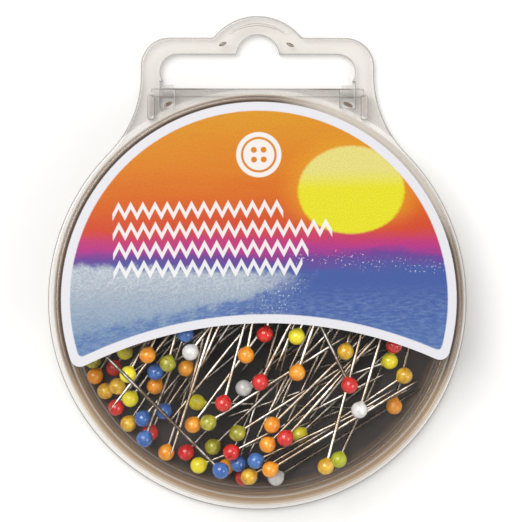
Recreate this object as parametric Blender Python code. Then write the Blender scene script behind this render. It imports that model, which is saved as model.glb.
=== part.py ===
"""A round, clear hang-tab box of glass-headed pins, lying on its back and shut.

The frame: the origin is the centre of the round back face, +Z comes out of the front of the box and +Y
runs from the dish to the hang tab. The lid swings on a bar moulded along the lower edge of the hang slot.
"""

import math

import bmesh
import bpy
import numpy as np
from mathutils import Matrix, Vector

MM = 0.001

# Clear base: one moulding of back sheet, hang tab, dish wall and hinge bar.
DISH_RADIUS = 31.8 * MM
WALL_THICKNESS = 0.9 * MM
WALL_HEIGHT = 7.4 * MM
SHEET_THICKNESS = 1.6 * MM
FLANGE_LEDGE = 1.4 * MM
SWING_CLEARANCE = 0.15 * MM

# Hang tab, its arch and the slot for a peg. The tab is as much larger than the slot as its straps are wide.
SLOT_LENGTH = 33.0 * MM
SLOT_WIDTH = 5.9 * MM
SLOT_SETBACK = 0.3 * MM
TOP_STRAP = 2.8 * MM
SIDE_STRAP = 3.2 * MM
TAB_CORNER = 4.8 * MM
TAB_STRAIGHT_SIDE = 1.4 * MM
ARCH_HALF_WIDTH = 7.45 * MM
ARCH_RISE = 3.7 * MM
ARCH_FOOT_ROUND = 1.0 * MM
PEG_HOLE_RADIUS = 3.65 * MM
PEG_HOLE_RISE = 5.55 * MM

# Hinge: a round bar on the base, and two C-shaped hooks on the lid that stand in windows between cheeks.
BAR_RADIUS = 0.75 * MM
BAR_BITE = 0.1 * MM
HOOK_INSET = 1.3 * MM
HOOK_WIDTH = 2.0 * MM
HOOK_WALL = 0.6 * MM
ARM_STEP = 0.1 * MM
HOOK_CLEARANCE = 0.25 * MM
HOOK_MOUTH_DEGREES = 70
WINDOW_SIDE_CLEARANCE = 0.3 * MM
WINDOW_REAR_CLEARANCE = 0.35 * MM
WINDOW_FRONT_CLEARANCE = 0.9 * MM
CHEEK_OFFSET = 2.8 * MM
CHEEK_THICKNESS = 1.2 * MM
CHEEK_SETBACK = 1.3 * MM
CHEEK_HEIGHT = 1.6 * MM

# Clear lid: a shallow cap whose skirt drops over the dish wall.
SKIRT_THICKNESS = 0.9 * MM
SKIRT_CLEARANCE = 0.3 * MM
SKIRT_LIFT = 0.3 * MM
LID_FACE = 1.2 * MM
LID_EDGE_ROUND = 0.8 * MM

# Paper label on the front and card in the bottom of the dish.
LABEL_MARGIN = 1.4 * MM
LABEL_THICKNESS = 0.2 * MM
LABEL_GAP = 0.1 * MM
LABEL_EDGE_RADIUS = 68.0 * MM
LABEL_EDGE_MIDDLE = -3.9 * MM
LABEL_CORNER = 1.6 * MM
LABEL_TURN_DEGREES = 1.1
CARD_THICKNESS = 0.4 * MM
CARD_GAP = 0.15 * MM
CARD_EDGE_CLEARANCE = 0.4 * MM

# Pins: a steel shank in a bead of glass.
PIN_LENGTH = 30.0 * MM
SHANK_RADIUS = 0.3 * MM
TIP_RADIUS = 0.05 * MM
POINT_LENGTH = 5.0 * MM
HEAD_RADIUS = 1.4 * MM
HEAD_NECK_RADIUS = 0.6 * MM
HEAD_SOCKET_CLEARANCE = 0.1 * MM
PIN_GAP = 0.15 * MM
WALL_GAP = 0.3 * MM
HEADS_DEEP = 5
BALANCE_SHARE = 0.34
SAMPLE_STEP = 0.4 * MM
ROLL_DEGREES = range(-18, 19, 3)
ROLL_STEPS = (0.0, 0.8, 1.6)
ROLL_WAYS = 6
ROLL_EFFORT = 0.6

WELD = 0.0001 * MM
CASE_SIDES = 96
BAR_SIDES = 24
HEAD_SIDES = 12
SHANK_SIDES = 8

WALL_RADIUS = DISH_RADIUS + WALL_THICKNESS
SKIRT_INNER = WALL_RADIUS + SKIRT_CLEARANCE
LID_RADIUS = SKIRT_INNER + SKIRT_THICKNESS
CASE_DEPTH = HEADS_DEEP * 2 * HEAD_RADIUS
FLANGE_RADIUS = LID_RADIUS + FLANGE_LEDGE
SKIRT_BOTTOM = SHEET_THICKNESS + SKIRT_LIFT
SLOT_FLOOR = FLANGE_RADIUS + SLOT_SETBACK
TAB_TOP = SLOT_FLOOR + SLOT_WIDTH + TOP_STRAP
TAB_HALF_WIDTH = SLOT_LENGTH / 2 + SIDE_STRAP
HINGE_Y = SLOT_FLOOR + BAR_BITE - BAR_RADIUS
HINGE_Z = SHEET_THICKNESS + BAR_BITE
HOOK_INNER = BAR_RADIUS + HOOK_CLEARANCE
HOOK_OUTER = HOOK_INNER + HOOK_WALL
HOOK_X = SLOT_LENGTH / 2 - HOOK_INSET
CHEEK_X = HOOK_X + CHEEK_OFFSET
# The skirt's far side swings in over the wall as the lid lifts, so the wall leans in by that much at its top.
WALL_TOP = SHEET_THICKNESS + WALL_HEIGHT
SKIRT_SWING = (WALL_TOP - HINGE_Z) ** 2 / (2 * (HINGE_Y + SKIRT_INNER))
WALL_TOP_RADIUS = min(WALL_RADIUS, SKIRT_INNER - SKIRT_SWING - SWING_CLEARANCE)
CARD_TOP = SHEET_THICKNESS + CARD_GAP + CARD_THICKNESS
REACH = PIN_LENGTH - HEAD_RADIUS

# Where each pin lies, from the lowest in the heap to the highest: its head's place across and up the dish
# as shares of the circle that a head can reach, the way its point lies in degrees from +X, and its glass.
PINS = [
    (-0.08, -0.99, 37, "red"),
    (0.10, -0.99, 31, "pearl"),
    (-0.14, -0.93, 66, "orange"),
    (-0.33, -0.92, 27, "yellow"),
    (0.45, -0.89, 62, "lime"),
    (-0.51, -0.85, 72, "orange"),
    (-0.60, -0.74, 57, "red"),
    (-0.72, -0.69, 48, "amber"),
    (-0.79, -0.60, 36, "red"),
    (-0.64, -0.66, 50, "blue"),
    (-0.40, -0.85, 44, "red"),
    (-0.83, -0.54, 20, "amber"),
    (-0.87, -0.49, 56, "orange"),
    (-0.71, -0.55, 62, "yellow"),
    (-0.56, -0.62, 52, "blue"),
    (-0.78, -0.48, 58, "amber"),
    (-0.88, -0.40, 50, "olive"),
    (-0.61, -0.48, 40, "orange"),
    (-0.80, -0.38, 60, "red"),
    (-0.72, -0.32, 66, "yellow"),
    (-0.57, -0.40, 30, "blue"),
    (-0.34, -0.57, -5, "yellow"),
    (-0.40, -0.38, 26, "orange"),
    (-0.08, -0.49, 15, "pearl"),
    (0.23, -0.75, 58, "yellow"),
    (0.74, -0.56, 78, "orange"),
    (0.81, -0.42, 214, "amber"),
    (0.73, -0.34, 181, "yellow"),
]

SIDES = ((-1, "left"), (1, "right"))

CLEAR_PLASTIC = ("clear_polystyrene", (0.90, 0.88, 0.85), 0.08, 0.0)
LABEL_PAPER = ("label_paper", (0.90, 0.50, 0.18), 0.35, 0.0)
BLACK_CARD = ("black_card", (0.04, 0.035, 0.03), 0.7, 0.0)
STEEL = ("nickel_plated_steel", (0.62, 0.60, 0.57), 0.22, 1.0)
GLASS = {
    "yellow": (0.90, 0.78, 0.03),
    "amber": (0.75, 0.42, 0.04),
    "orange": (0.88, 0.33, 0.03),
    "red": (0.65, 0.03, 0.02),
    "blue": (0.06, 0.15, 0.50),
    "olive": (0.42, 0.42, 0.04),
    "lime": (0.60, 0.68, 0.03),
    "pearl": (0.72, 0.70, 0.68),
}


def finish_of(name, colour, roughness, metallic):
    """A Principled material, made once and shared by every piece that names it."""
    material = bpy.data.materials.get(name)
    if material is None:
        material = bpy.data.materials.new(name)
        material.use_nodes = True
        shader = material.node_tree.nodes["Principled BSDF"]
        shader.inputs["Base Color"].default_value = (*colour, 1.0)
        shader.inputs["Roughness"].default_value = roughness
        shader.inputs["Metallic"].default_value = metallic
        material.diffuse_color = (*colour, 1.0)
    return material


def mesh_of(name, shape):
    """Turns a bmesh into a mesh whose round faces are shaded smooth."""
    bmesh.ops.recalc_face_normals(shape, faces=shape.faces)
    mesh = bpy.data.meshes.new(name)
    shape.to_mesh(mesh)
    shape.free()
    mesh.shade_smooth()
    mesh.set_sharp_from_angle(angle=math.radians(35))
    return mesh


def place(name, mesh, finish=None, parent=None):
    """Puts a mesh in the scene under a parent, or as a hidden helper when it has no finish."""
    thing = bpy.data.objects.new(name, mesh)
    bpy.context.scene.collection.objects.link(thing)
    thing.parent = parent
    if finish is None:
        thing.hide_render = True
        thing.display_type = "WIRE"
    elif not mesh.materials:
        mesh.materials.append(finish_of(*finish))
    return thing


def empty_at(name, matrix, parent=None):
    holder = bpy.data.objects.new(name, None)
    bpy.context.scene.collection.objects.link(holder)
    holder.parent = parent
    holder.matrix_local = matrix
    return holder


def arc(centre, radius, start, end, steps):
    """Points along an arc, from one angle in degrees to another."""
    angles = np.radians(np.linspace(start, end, steps + 1))
    return [(centre[0] + radius * math.cos(a), centre[1] + radius * math.sin(a)) for a in angles]


def bearing(x, y):
    return math.degrees(math.atan2(y, x))


def extruded(outline, bottom, top, along=Matrix.Identity(4)):
    """A flat outline drawn out from one level to another, then turned by a matrix."""
    shape = bmesh.new()
    corners = [shape.verts.new((x, y, bottom)) for x, y in outline]
    face = shape.faces.new(corners)
    drawn = bmesh.ops.extrude_face_region(shape, geom=[face])
    risen = [part for part in drawn["geom"] if isinstance(part, bmesh.types.BMVert)]
    bmesh.ops.translate(shape, verts=risen, vec=(0.0, 0.0, top - bottom))
    bmesh.ops.transform(shape, matrix=along, verts=shape.verts)
    return shape


def turned(profile, sides, closed=False):
    """A profile of (radius, height) points spun round Z: from axis to axis, or a closed ring."""
    shape = bmesh.new()
    points = [shape.verts.new((radius, 0.0, height)) for radius, height in profile]
    edges = [shape.edges.new(pair) for pair in zip(points, points[1:])]
    if closed:
        edges.append(shape.edges.new((points[-1], points[0])))
    bmesh.ops.spin(
        shape,
        geom=points + edges,
        axis=(0.0, 0.0, 1.0),
        cent=(0.0, 0.0, 0.0),
        angle=2 * math.pi,
        steps=sides,
        use_merge=False,
    )
    bmesh.ops.remove_doubles(shape, verts=shape.verts, dist=WELD)
    return shape


def block(low, high):
    shape = bmesh.new()
    bmesh.ops.create_cube(shape, size=1.0)
    low, high = Vector(low), Vector(high)
    size = high - low
    bmesh.ops.scale(shape, vec=size, verts=shape.verts)
    bmesh.ops.translate(shape, vec=(low + high) / 2, verts=shape.verts)
    return shape


def combine(body, operation, name, shape):
    """Joins a helper shape to a body, or cuts it away, with a live Boolean."""
    helper = place(f"{body.name}_{name}", mesh_of(name, shape), parent=body.parent)
    step = body.modifiers.new(name, "BOOLEAN")
    step.operation = operation
    step.solver = "EXACT"
    step.object = helper


def tab_outline():
    """The flange circle run into the hang tab: the right half, then its mirror image."""
    corner = (TAB_HALF_WIDTH - TAB_CORNER, TAB_TOP - TAB_CORNER)
    # The flank is an arc that touches both the flange and the lower end of the tab's straight side.
    flank_y = corner[1] - TAB_STRAIGHT_SIDE
    flank = (TAB_HALF_WIDTH**2 + flank_y**2 - FLANGE_RADIUS**2) / (2 * (FLANGE_RADIUS - TAB_HALF_WIDTH))
    flank_x = TAB_HALF_WIDTH + flank
    meeting = bearing(flank_x, flank_y)
    arch_radius = (ARCH_HALF_WIDTH**2 + ARCH_RISE**2) / (2 * ARCH_RISE)
    arch_y = TAB_TOP + ARCH_RISE - arch_radius
    foot_y = TAB_TOP + ARCH_FOOT_ROUND
    foot_x = math.sqrt((arch_radius + ARCH_FOOT_ROUND) ** 2 - (foot_y - arch_y) ** 2)
    leaving = bearing(foot_x, foot_y - arch_y)
    right = arc((0.0, 0.0), FLANGE_RADIUS, -90, meeting, 40)
    right += arc((flank_x, flank_y), flank, meeting + 180, 180, 8)[1:]
    right += arc(corner, TAB_CORNER, 0, 90, 8)
    right += arc((foot_x, foot_y), ARCH_FOOT_ROUND, 270, leaving + 180, 4)
    right += arc((0.0, arch_y), arch_radius, leaving, 90, 10)[1:]
    return right + [(-x, y) for x, y in reversed(right[1:-1])]


def slot_outline():
    """The peg slot: a long round-ended slot with a round hole rising from its middle."""
    end_radius = SLOT_WIDTH / 2
    end_x = SLOT_LENGTH / 2 - end_radius
    middle_y = SLOT_FLOOR + end_radius
    hole_y = SLOT_FLOOR + PEG_HOLE_RISE
    leaving = math.degrees(math.asin((SLOT_FLOOR + SLOT_WIDTH - hole_y) / PEG_HOLE_RADIUS))
    right = arc((end_x, middle_y), end_radius, -90, 90, 10)
    right += arc((0.0, hole_y), PEG_HOLE_RADIUS, leaving, 90, 8)
    return right + [(-x, y) for x, y in reversed(right[:-1])]


def hook_outline():
    """One hinge hook seen from the side, about the hinge axis: an arm that runs into an open ring."""
    mouth = HOOK_MOUTH_DEGREES / 2
    arm_bottom = SKIRT_BOTTOM + ARM_STEP - HINGE_Z
    arm_end = -math.degrees(math.asin(arm_bottom / HOOK_OUTER))
    # The arm runs right through the skirt, and the lid's hollow trims its inner end.
    arm_length = HINGE_Y - math.sqrt(SKIRT_INNER**2 - (HOOK_X - HOOK_WIDTH / 2) ** 2) + SKIRT_THICKNESS
    outline = arc((0.0, 0.0), HOOK_OUTER, mouth, 90, 6)
    outline += [(-arm_length, HOOK_OUTER), (-arm_length, arm_bottom)]
    outline += arc((0.0, 0.0), HOOK_OUTER, 180 + arm_end, 360 - mouth, 12)
    return outline + arc((0.0, 0.0), HOOK_INNER, 360 - mouth, mouth, 18)


def make_dish_wall():
    bottom = SHEET_THICKNESS / 2
    profile = [(WALL_RADIUS, bottom), (WALL_RADIUS, SHEET_THICKNESS), (WALL_TOP_RADIUS, WALL_TOP)]
    profile += [(DISH_RADIUS, WALL_TOP), (DISH_RADIUS, bottom)]
    return turned(profile, CASE_SIDES, closed=True)


def make_hinge_bar():
    """A round bar along X, sunk halfway into the sheet above the slot's lower edge."""
    bar = turned([(0.0, -CHEEK_X), (BAR_RADIUS, -CHEEK_X), (BAR_RADIUS, CHEEK_X), (0.0, CHEEK_X)], BAR_SIDES)
    along_x = Matrix.Rotation(math.radians(90), 4, "Y")
    at_hinge = Matrix.Translation((0.0, HINGE_Y, HINGE_Z))
    bmesh.ops.transform(bar, matrix=at_hinge @ along_x, verts=bar.verts)
    return bar


def make_base(parent):
    sheet = mesh_of("case_base", extruded(tab_outline(), 0.0, SHEET_THICKNESS))
    base = place("case_base", sheet, CLEAR_PLASTIC, parent)
    under, over = -SHEET_THICKNESS, 2 * SHEET_THICKNESS
    combine(base, "UNION", "dish_wall", make_dish_wall())
    combine(base, "DIFFERENCE", "peg_slot", extruded(slot_outline(), under, over))
    for side, name in SIDES:
        middle = side * HOOK_X
        half = HOOK_WIDTH / 2 + WINDOW_SIDE_CLEARANCE
        near = HINGE_Y - HOOK_OUTER - WINDOW_FRONT_CLEARANCE
        far = HINGE_Y + HOOK_OUTER + WINDOW_REAR_CLEARANCE
        window = block((middle - half, near, under), (middle + half, far, over))
        combine(base, "DIFFERENCE", f"{name}_window", window)
    combine(base, "UNION", "hinge_bar", make_hinge_bar())
    for side, name in SIDES:
        middle = side * CHEEK_X
        half = CHEEK_THICKNESS / 2
        rear = HINGE_Y - BAR_RADIUS / 2
        front = math.sqrt(LID_RADIUS**2 - (CHEEK_X - half) ** 2) + CHEEK_SETBACK
        low = (middle - half, front, SHEET_THICKNESS / 2)
        high = (middle + half, rear, SHEET_THICKNESS + CHEEK_HEIGHT)
        combine(base, "UNION", f"{name}_cheek", block(low, high))


def make_lid(hinge):
    """The cap and its hooks, drawn about the hinge axis so that the lid turns on its own origin."""
    to_hinge = Matrix.Translation((0.0, -HINGE_Y, -HINGE_Z))
    edge = arc((LID_RADIUS - LID_EDGE_ROUND, CASE_DEPTH - LID_EDGE_ROUND), LID_EDGE_ROUND, 0, 90, 5)
    cap = turned([(0.0, SKIRT_BOTTOM), (LID_RADIUS, SKIRT_BOTTOM), *edge, (0.0, CASE_DEPTH)], CASE_SIDES)
    bmesh.ops.transform(cap, matrix=to_hinge, verts=cap.verts)
    lid = place("case_lid", mesh_of("case_lid", cap), CLEAR_PLASTIC, hinge)
    # The hook's outline is drawn in Y and Z, and its thickness runs along X.
    across = Matrix(((0, 0, 1, 0), (1, 0, 0, 0), (0, 1, 0, 0), (0, 0, 0, 1)))
    for side, name in SIDES:
        middle = side * HOOK_X
        hook = extruded(hook_outline(), middle - HOOK_WIDTH / 2, middle + HOOK_WIDTH / 2, across)
        combine(lid, "UNION", f"{name}_hook", hook)
    below, ceiling = SKIRT_BOTTOM - LID_FACE, CASE_DEPTH - LID_FACE
    profile = [(0.0, below), (SKIRT_INNER, below), (SKIRT_INNER, ceiling), (0.0, ceiling)]
    hollow = turned(profile, CASE_SIDES)
    bmesh.ops.transform(hollow, matrix=to_hinge, verts=hollow.verts)
    combine(lid, "DIFFERENCE", "hollow", hollow)


def label_outline():
    """The label's edge: the lid's circle above, a flat bow below, and a round corner at each end."""
    radius = LID_RADIUS - LABEL_MARGIN
    bow_y = LABEL_EDGE_MIDDLE - LABEL_EDGE_RADIUS
    inner, outer = radius - LABEL_CORNER, LABEL_EDGE_RADIUS + LABEL_CORNER
    corner_y = (outer**2 - inner**2 - bow_y**2) / (-2 * bow_y)
    corner_x = math.sqrt(inner**2 - corner_y**2)
    circle_end = bearing(corner_x, corner_y)
    bow_end = bearing(corner_x, corner_y - bow_y)
    right = arc((0.0, bow_y), LABEL_EDGE_RADIUS, 90, bow_end, 12)
    right += arc((corner_x, corner_y), LABEL_CORNER, bow_end - 180, circle_end, 6)[1:]
    right += arc((0.0, 0.0), radius, circle_end, 90, 36)[1:]
    return right + [(-x, y) for x, y in reversed(right[1:-1])]


def make_label(hinge):
    bottom = CASE_DEPTH + LABEL_GAP
    turn = Matrix.Rotation(math.radians(LABEL_TURN_DEGREES), 4, "Z")
    to_hinge = Matrix.Translation((0.0, -HINGE_Y, -HINGE_Z))
    paper = extruded(label_outline(), bottom, bottom + LABEL_THICKNESS, to_hinge @ turn)
    place("front_label", mesh_of("front_label", paper), LABEL_PAPER, hinge)


def make_card(parent):
    radius = DISH_RADIUS - CARD_EDGE_CLEARANCE
    bottom = SHEET_THICKNESS + CARD_GAP
    card = turned([(0.0, bottom), (radius, bottom), (radius, CARD_TOP), (0.0, CARD_TOP)], CASE_SIDES)
    place("backing_card", mesh_of("backing_card", card), BLACK_CARD, parent)


def head_mesh():
    """A glass bead about its centre, with the shank's socket opening towards +Z."""
    socket = SHANK_RADIUS + HEAD_SOCKET_CLEARANCE
    neck = 90 - math.degrees(math.asin(HEAD_NECK_RADIUS / HEAD_RADIUS))
    bead = [(r, z) for r, z in arc((0.0, 0.0), HEAD_RADIUS, -90, neck, 6)][1:]
    mouth = HEAD_RADIUS + HEAD_SOCKET_CLEARANCE
    profile = [(0.0, -HEAD_RADIUS), *bead, (socket, mouth), (socket, 0.0), (0.0, 0.0)]
    return mesh_of("pin_head", turned(profile, HEAD_SIDES))


def shank_mesh():
    """A steel shank along +Z, seated in the head's socket and drawn to a point."""
    start = HEAD_SOCKET_CLEARANCE
    profile = [
        (0.0, start),
        (SHANK_RADIUS, start),
        (SHANK_RADIUS, REACH - POINT_LENGTH),
        (TIP_RADIUS, REACH),
        (0.0, REACH),
    ]
    return mesh_of("pin_shank", turned(profile, SHANK_SIDES))


def lie_in_dish(across, up, heading):
    """A head's place, and the pin's heading turned just far enough to bring its point inside the wall."""
    head_circle = DISH_RADIUS - WALL_GAP - HEAD_RADIUS
    tip_circle = DISH_RADIUS - WALL_GAP - SHANK_RADIUS
    out = min(math.hypot(across, up), 1.0) * head_circle
    direction = math.atan2(up, across)
    swing = (math.radians(heading) - direction + math.pi) % (2 * math.pi) - math.pi
    limit = (tip_circle**2 - out**2 - REACH**2) / (2 * out * REACH)
    least = math.acos(max(-1.0, min(1.0, limit)))
    swing = math.copysign(max(abs(swing), least), swing)
    return out * math.cos(direction), out * math.sin(direction), direction + swing


def come_to_rest(x, y, heading, settled):
    """Heights of a pin's two ends when it comes down on the card and on the pins already lying.

    Each ball along the new pin is held up by the balls under it. The pin rests on the two supports, one
    either side of its point of balance, whose line passes that point highest.
    """
    along = np.linspace(0.0, REACH, int(REACH / SAMPLE_STEP) + 1)
    size = np.where(along < HEAD_RADIUS / 2, HEAD_RADIUS, SHANK_RADIUS)
    floor = CARD_TOP + PIN_GAP
    held = np.full(len(along), -np.inf)
    held[0] = floor + HEAD_RADIUS
    held[-1] = floor + SHANK_RADIUS
    px = x + along * math.cos(heading)
    py = y + along * math.sin(heading)
    apart = np.hypot(px[:, None] - settled[None, :, 0], py[:, None] - settled[None, :, 1])
    need = size[:, None] + settled[None, :, 3] + PIN_GAP
    rise = np.sqrt(np.maximum(need**2 - apart**2, 0.0))
    under = np.where(apart < need, settled[None, :, 2] + rise, -np.inf)
    held = np.maximum(held, under.max(axis=1, initial=-np.inf))
    balance = BALANCE_SHARE * REACH
    near = (along < balance) & np.isfinite(held)
    far = (along > balance) & np.isfinite(held)
    slope = (held[far][None, :] - held[near][:, None]) / (along[far][None, :] - along[near][:, None])
    start = held[near][:, None] - slope * along[near][:, None]
    best = np.unravel_index(np.argmax(start + slope * balance), slope.shape)
    return start[best], start[best] + slope[best] * REACH


def roll_down(across, up, heading, settled):
    """The lowest lie near a pin's place: it rolls off what is under it where that is worth the effort."""
    head_circle = DISH_RADIUS - WALL_GAP - HEAD_RADIUS
    lies = []
    for step in ROLL_STEPS:
        share = step * HEAD_RADIUS / head_circle
        for way in range(ROLL_WAYS if step else 1):
            angle = 2 * math.pi * way / ROLL_WAYS
            shift_x, shift_y = share * math.cos(angle), share * math.sin(angle)
            for roll in ROLL_DEGREES:
                x, y, settled_heading = lie_in_dish(across + shift_x, up + shift_y, heading + roll)
                low, high = come_to_rest(x, y, settled_heading, settled)
                effort = ROLL_EFFORT * step * HEAD_RADIUS
                lies.append((round(max(low, high) + effort, 5), abs(roll), x, y, settled_heading, low, high))
    return min(lies)[2:]


def balls_along(head, tip):
    """A settled pin as a row of balls: one for its head and one every step along its shank."""
    count = int(REACH / SAMPLE_STEP) + 1
    share = np.linspace(0.0, 1.0, count)[:, None]
    centres = np.array(head) * (1 - share) + np.array(tip) * share
    size = np.full((count, 1), SHANK_RADIUS)
    size[0] = HEAD_RADIUS
    return np.hstack([centres, size])


def make_pins(parent):
    heads = {colour: head_mesh() for colour in GLASS}
    shank = shank_mesh()
    settled = np.zeros((0, 4))
    for number, (across, up, heading, colour) in enumerate(PINS, start=1):
        x, y, heading, low, high = roll_down(across, up, heading, settled)
        tilt = math.atan2(high - low, REACH)
        flat = REACH * math.cos(tilt)
        head = Vector((x, y, low))
        tip = head + Vector((flat * math.cos(heading), flat * math.sin(heading), REACH * math.sin(tilt)))
        settled = np.vstack([settled, balls_along(head, tip)])
        turn = (tip - head).to_track_quat("Z", "Y").to_matrix().to_4x4()
        pin = empty_at(f"pin_{number:02d}", Matrix.Translation(head) @ turn, parent)
        place(f"pin_shank_{number:02d}", shank, STEEL, pin)
        glass = (f"{colour}_glass", GLASS[colour], 0.1, 0.0)
        place(f"pin_head_{number:02d}", heads[colour], glass, pin)


for leftover in list(bpy.data.objects):
    bpy.data.objects.remove(leftover)

case = empty_at("case", Matrix.Identity(4))
hinge = empty_at("lid_hinge", Matrix.Translation((0.0, HINGE_Y, HINGE_Z)), case)
make_base(case)
make_card(case)
make_pins(case)
make_lid(hinge)
make_label(hinge)
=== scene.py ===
"""A round clear box of glass-headed pins with a hang tab, shut and lying on its back."""

import math

import bmesh
import bpy
import numpy as np
from mathutils import Euler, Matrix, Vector


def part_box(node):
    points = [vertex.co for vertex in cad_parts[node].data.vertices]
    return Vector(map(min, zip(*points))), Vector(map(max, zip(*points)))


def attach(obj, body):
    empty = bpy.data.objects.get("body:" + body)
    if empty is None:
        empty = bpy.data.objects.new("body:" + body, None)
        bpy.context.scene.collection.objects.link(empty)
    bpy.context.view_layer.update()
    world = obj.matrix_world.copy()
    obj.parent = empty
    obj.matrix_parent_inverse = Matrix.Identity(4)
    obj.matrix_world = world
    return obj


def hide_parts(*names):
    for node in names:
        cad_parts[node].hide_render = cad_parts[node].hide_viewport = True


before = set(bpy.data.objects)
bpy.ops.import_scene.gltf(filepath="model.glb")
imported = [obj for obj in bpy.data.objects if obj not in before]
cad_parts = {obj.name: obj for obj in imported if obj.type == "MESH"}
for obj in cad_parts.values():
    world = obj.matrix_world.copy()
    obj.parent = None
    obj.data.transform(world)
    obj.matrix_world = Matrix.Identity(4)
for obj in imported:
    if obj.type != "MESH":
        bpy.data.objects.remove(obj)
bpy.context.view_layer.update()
scene = bpy.context.scene

# ---- Camera ----
# A long lens straight above the box, with the hang tab at the top of the picture. It leans a touch off
# the vertical and looks at a point just above the middle of the dish.

PICTURE_CENTRE = (0.0006, 0.0066)
CAMERA_HEIGHT = 0.5
FIELD_WIDTH = 0.0883
SENSOR = 36.0
LEAN = (math.radians(1.15), math.radians(-1.18), 0.0)

eye = bpy.data.cameras.new("camera")
eye.sensor_width = SENSOR
eye.lens = SENSOR * CAMERA_HEIGHT / FIELD_WIDTH
camera = bpy.data.objects.new("camera", eye)
camera.rotation_euler = LEAN
pull_back = Euler(LEAN).to_matrix() @ Vector((0.0, 0.0, CAMERA_HEIGHT))
camera.location = Vector((*PICTURE_CENTRE, 0.0)) + pull_back
scene.collection.objects.link(camera)
scene.camera = camera

# ---- Floor ----
# A wide sheet of white paper with a faint tooth, which the back of the box lies on. It stops a hair lower,
# so that the two faces never share a plane.

FLOOR_HALF = 3.0
FLOOR_DROP = 0.00002
TOOTH_SCALE = 260.0


class Strand:
    """One node socket. Sums on it add Math nodes to its tree, and add() makes any other node."""

    def __init__(self, tree, socket=None):
        self.tree = tree
        self.socket = socket

    def add(self, kind, settings=None, values=None, output=0):
        """A node of that type: its settings first, then each socket's value or link, by name or by number."""
        node = self.tree.nodes.new(kind)
        for name, setting in (settings or {}).items():
            if name == "stops":
                ramp = node.color_ramp
                while len(ramp.elements) > 1:
                    ramp.elements.remove(ramp.elements[0])
                ramp.elements[0].position = setting[0][0]
                ramp.elements[0].color = (*setting[0][1], 1.0)
                for place, colour in setting[1:]:
                    ramp.elements.new(place).color = (*colour, 1.0)
            else:
                setattr(node, name, setting)
        for name, value in (values or {}).items():
            self.feed(node.inputs[name], value)
        return Strand(self.tree, node.outputs[output])

    def feed(self, socket, value):
        if isinstance(value, Strand):
            self.tree.links.new(value.socket, socket)
        elif isinstance(value, tuple) and len(value) == 3 and socket.type == "RGBA":
            socket.default_value = (*value, 1.0)
        else:
            socket.default_value = value

    def math(self, operation, *terms):
        return self.add("ShaderNodeMath", {"operation": operation}, dict(enumerate(terms)))

    def part(self, output):
        """Another output of the same node."""
        return Strand(self.tree, self.socket.node.outputs[output])

    def axes(self):
        """The X, Y and Z of a vector."""
        split = self.add("ShaderNodeSeparateXYZ", values={0: self})
        return split, split.part(1), split.part(2)

    def ramp(self, low, high, start=0.0, end=1.0):
        """A smooth step from start to end while this runs from low to high."""
        settings = {"interpolation_type": "SMOOTHSTEP"}
        values = {"Value": self, "From Min": low, "From Max": high, "To Min": start, "To Max": end}
        return self.add("ShaderNodeMapRange", settings, values)

    def colours(self, stops):
        """A colour ramp read at this value."""
        return self.add("ShaderNodeValToRGB", {"stops": stops}, {0: self})

    def between(self, first, second):
        """The mix of two colours, this being the share of the second."""
        settings = {"data_type": "RGBA", "clamp_factor": True}
        return self.add("ShaderNodeMix", settings, {0: self, 6: first, 7: second}, output=2)

    def __add__(self, other):
        return self.math("ADD", self, other)

    def __sub__(self, other):
        return self.math("SUBTRACT", self, other)

    def __rsub__(self, other):
        return self.math("SUBTRACT", other, self)

    def __mul__(self, other):
        return self.math("MULTIPLY", self, other)

    def __truediv__(self, other):
        return self.math("DIVIDE", self, other)

    def __pow__(self, other):
        return self.math("POWER", self, other)

    __radd__ = __add__
    __rmul__ = __mul__


def new_finish(name, **sockets):
    """A Principled material with its plain sockets set. Returns it, its shader and a strand to build from."""
    material = bpy.data.materials.new(name)
    material.use_nodes = True
    tree = material.node_tree
    shader = tree.nodes["Principled BSDF"]
    start = Strand(tree)
    for socket, value in sockets.items():
        start.feed(shader.inputs[socket.replace("_", " ")], value)
    return material, shader, start


def grain(strand, where, scale, detail=3.0, roughness=0.55, distortion=0.0):
    """Noise between 0 and 1, with a number of cells to each unit of the vector it reads."""
    values = {"Vector": where, "Scale": scale, "Detail": detail, "Roughness": roughness}
    return strand.add("ShaderNodeTexNoise", values=values | {"Distortion": distortion})


def raised(strand, height, strength, distance):
    """A Bump normal from a height field."""
    return strand.add("ShaderNodeBump", values={"Height": height, "Strength": strength, "Distance": distance})


def surface(name, points, faces, material, smooth=True):
    """A mesh object from arrays of points and faces, at the origin."""
    mesh = bpy.data.meshes.new(name)
    mesh.from_pydata(points.tolist(), [], faces)
    mesh.materials.append(material)
    if smooth:
        mesh.shade_smooth()
    thing = bpy.data.objects.new(name, mesh)
    scene.collection.objects.link(thing)
    return thing


paper, paper_shader, start = new_finish("floor_paper", Roughness=0.9)
tooth = grain(start, start.add("ShaderNodeTexCoord").part("Object"), TOOTH_SCALE)
start.feed(paper_shader.inputs["Base Color"], tooth.between((0.93, 0.93, 0.93), (0.95, 0.95, 0.95)))
corners = np.array([(-1, -1, 0), (1, -1, 0), (1, 1, 0), (-1, 1, 0)]) * FLOOR_HALF
floor = surface("floor", corners - (0.0, 0.0, FLOOR_DROP), [(0, 1, 2, 3)], paper, smooth=False)

# ---- Light ----
# A large soft panel up to the left, a smaller one up to the right, and even light from all round, as on
# a small-goods table.

# Each panel's place, width, power and tint.
PANELS = (
    ((-0.34, 0.32, 0.84), 0.66, 7.0, (1.0, 0.985, 0.96)),
    ((0.55, -0.20, 0.60), 0.35, 1.6, (1.0, 0.97, 0.93)),
)
ROOM_LIGHT = 0.50

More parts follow.
